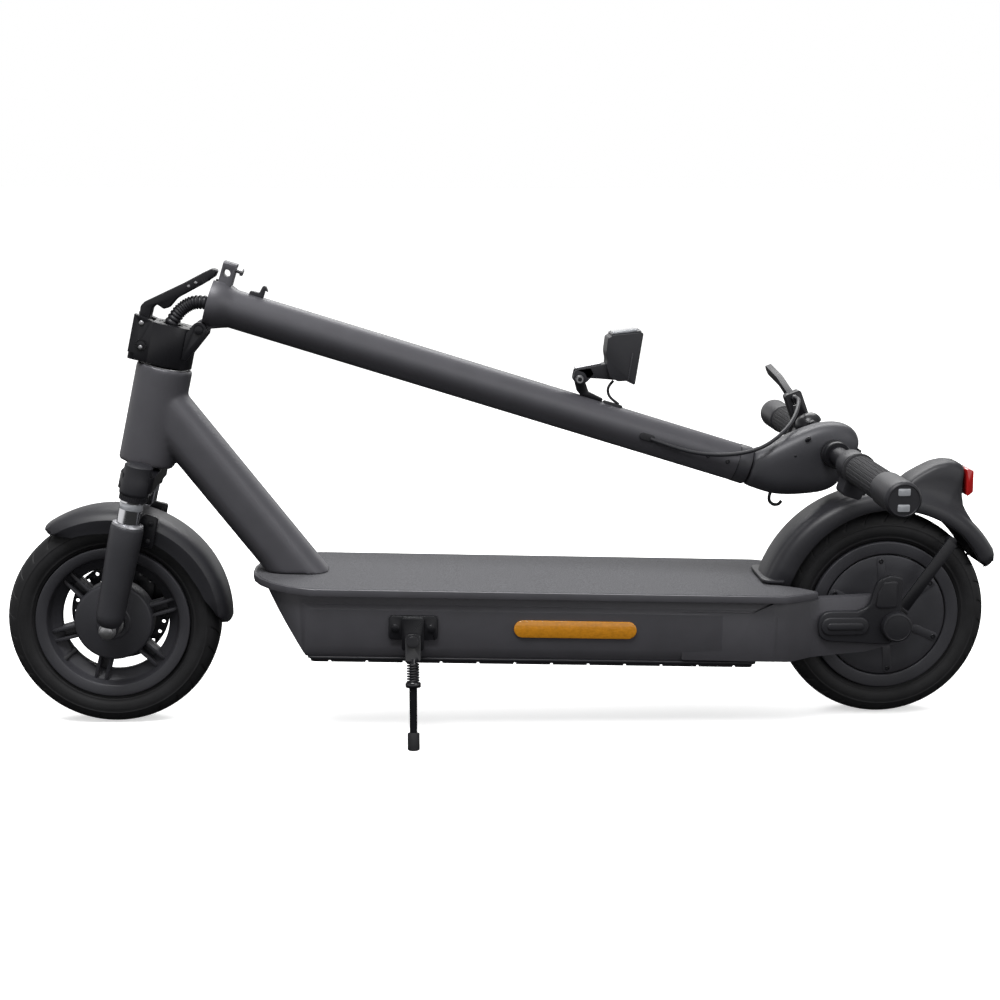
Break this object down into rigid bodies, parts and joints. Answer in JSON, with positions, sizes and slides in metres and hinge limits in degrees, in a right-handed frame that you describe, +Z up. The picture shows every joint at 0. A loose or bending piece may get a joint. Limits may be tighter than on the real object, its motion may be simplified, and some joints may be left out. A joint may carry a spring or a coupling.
{
  "type": "electric kick scooter",
  "caption": "Folding electric kick scooter, stored folded: stem back over the deck, hub motor wheel behind, sprung fork in front, kickstand out.",
  "frame": {"origin": "on the ground below the middle of the overall length and width", "axes": "+X forward, +Y to the rider's left, +Z up"},
  "size_m": [1.2053, 0.64, 0.5592],
  "materials": {
    "frame_paint": "satin graphite powder coat",
    "deck_grit": "gritty anti-slip coating",
    "black_plastic": "moulded, fine grain",
    "black_metal": "black enamel",
    "cast_grey": "satin grey on castings",
    "steel": "machined",
    "chrome": "hard chrome",
    "alloy": "bare",
    "tyre_rubber": "tread rubber",
    "grip_rubber": "knurled",
    "amber": "prismatic reflector",
    "red_lens": "clear red",
    "clear_lens": "clear",
    "gloss_black": "gloss",
    "battery": "shrink sleeve",
    "copper_core": "laminations and windings"
  },
  "bodies": {
    "frame": {"neck_frame": "frame_paint", "headset_bearings": "steel", "deck_plate": "frame_paint", "deck_mat": "deck_grit", "deck_body": "frame_paint", "bottom_cover": "black_plastic", "battery_pack": "battery", "motor_controller": "alloy", "rear_arms": "frame_paint", "axle_covers": "black_plastic", "rear_axle": "copper_core", "rear_fender": "black_plastic", "tail_light": "red_lens", "fender_stays": "black_metal", "side_reflectors": "amber", "kickstand_bracket": "black_metal", "charge_port": "black_plastic"},
    "charge_flap": {"charge_flap": "grip_rubber"},
    "kickstand": {"kickstand_leg": "black_metal", "kickstand_foot": "grip_rubber"},
    "fork_upper": {"fork_crown": "black_metal", "stanchions": "chrome", "stanchion_sleeves": "black_plastic", "fork_springs": "steel", "fold_base": "cast_grey", "hinge_pin": "steel", "conduit": "black_plastic"},
    "latch": {"latch_lever": "black_metal"},
    "fork_lower": {"fork_lowers": "cast_grey", "front_fender": "black_plastic", "front_axle": "steel", "brake_caliper": "black_metal"},
    "front_wheel": {"front_tyre": "tyre_rubber", "front_rim": "cast_grey", "front_bearings": "steel", "brake_rotor": "steel"},
    "rear_wheel": {"rear_tyre": "tyre_rubber", "motor_shell": "cast_grey", "motor_magnets": "steel", "motor_covers": "cast_grey"},
    "stem": {"stem_tube": "frame_paint", "stem_fittings": "grip_rubber", "cockpit_shell": "black_plastic", "display": "gloss_black", "handlebar": "alloy", "grips": "grip_rubber", "bar_end_signals": "black_plastic", "switch_pod": "black_plastic", "throttle_housing": "black_plastic", "brake_perch": "black_metal", "bell": "gloss_black", "headlight_bracket": "black_metal", "control_cables": "black_plastic"},
    "headlight": {"headlight_body": "black_plastic", "headlight_lens": "clear_lens"},
    "brake_lever": {"brake_lever": "black_metal"},
    "throttle_lever": {"throttle_lever": "black_plastic"},
    "bell_striker": {"bell_striker": "black_metal"},
    "power_button": {"power_button": "black_plastic"},
    "signal_switch": {"signal_switch": "black_plastic"}
  },
  "joints": [
    {"name": "steering", "type": "hinge", "parent": "frame", "child": "fork_upper", "pos_m": [0.42139, 0, 0.37138], "axis": [-0.2198, 0, 0.9755], "range_deg": [-30, 30]},
    {"name": "fold", "type": "hinge", "parent": "fork_upper", "child": "stem", "pos_m": [0.3629, 0, 0.47947], "axis": [0, 1, 0], "range_deg": [0, 94.5], "deforming": ["conduit"]},
    {"name": "latch_swing", "type": "hinge", "parent": "fork_upper", "child": "latch", "pos_m": [0.42896, 0, 0.4879], "axis": [0, 1, 0], "range_deg": [0, 136.2]},
    {"name": "fork_travel", "type": "slide", "parent": "fork_upper", "child": "fork_lower", "axis": [-0.2198, 0, 0.9755], "range_m": [0, 0.022], "stiffness_N_per_m": 9000, "springref_m": -0.02, "deforming": ["fork_springs"]},
    {"name": "front_spin", "type": "hinge", "parent": "fork_lower", "child": "front_wheel", "pos_m": [0.47635, 0, 0.1275], "axis": [0, 1, 0], "continuous": true},
    {"name": "rear_spin", "type": "hinge", "parent": "frame", "child": "rear_wheel", "pos_m": [-0.46525, 0, 0.1275], "axis": [0, 1, 0], "continuous": true},
    {"name": "kickstand_fold", "type": "hinge", "parent": "frame", "child": "kickstand", "pos_m": [0.11519, 0.104, 0.12144], "axis": [0, 0.9708, 0.2398], "range_deg": [0, 88], "stiffness_Nm_per_rad": 0.6, "springref_deg": -85.94},
    {"name": "brake_squeeze", "type": "hinge", "parent": "stem", "child": "brake_lever", "pos_m": [-0.37767, -0.124, 0.37461], "axis": [0.9348, 0, -0.3551], "range_deg": [0, 18], "stiffness_Nm_per_rad": 0.4, "springref_deg": -28.65},
    {"name": "throttle_push", "type": "hinge", "parent": "stem", "child": "throttle_lever", "pos_m": [-0.39471, -0.11, 0.32974], "axis": [0, 1, 0], "range_deg": [0, 25], "stiffness_Nm_per_rad": 0.1, "springref_deg": -17.19},
    {"name": "bell_flick", "type": "hinge", "parent": "stem", "child": "bell_striker", "pos_m": [-0.3869, -0.078, 0.35031], "axis": [0.3551, 0, 0.9348], "range_deg": [0, 20], "stiffness_Nm_per_rad": 0.02, "springref_deg": -17.19},
    {"name": "headlight_tilt", "type": "hinge", "parent": "stem", "child": "headlight", "pos_m": [-0.08629, 0, 0.41893], "axis": [0, 1, 0], "range_deg": [0, 12]},
    {"name": "power_press", "type": "slide", "parent": "stem", "child": "power_button", "axis": [0.8642, 0, 0.5031], "range_m": [0, 0.0006], "stiffness_N_per_m": 600, "springref_m": -0.001},
    {"name": "signal_slide", "type": "slide", "parent": "stem", "child": "signal_switch", "axis": [0, 1, 0], "range_m": [-0.002, 0.002]},
    {"name": "charge_flap_open", "type": "hinge", "parent": "frame", "child": "charge_flap", "pos_m": [0.15552, -0.0909, 0.14771], "axis": [-0.9997, 0, -0.0262], "range_deg": [0, 90]}
  ],
  "couplings": [
    {"joint": "latch_swing", "follows": "fold", "ratio": 1.44}
  ]
}
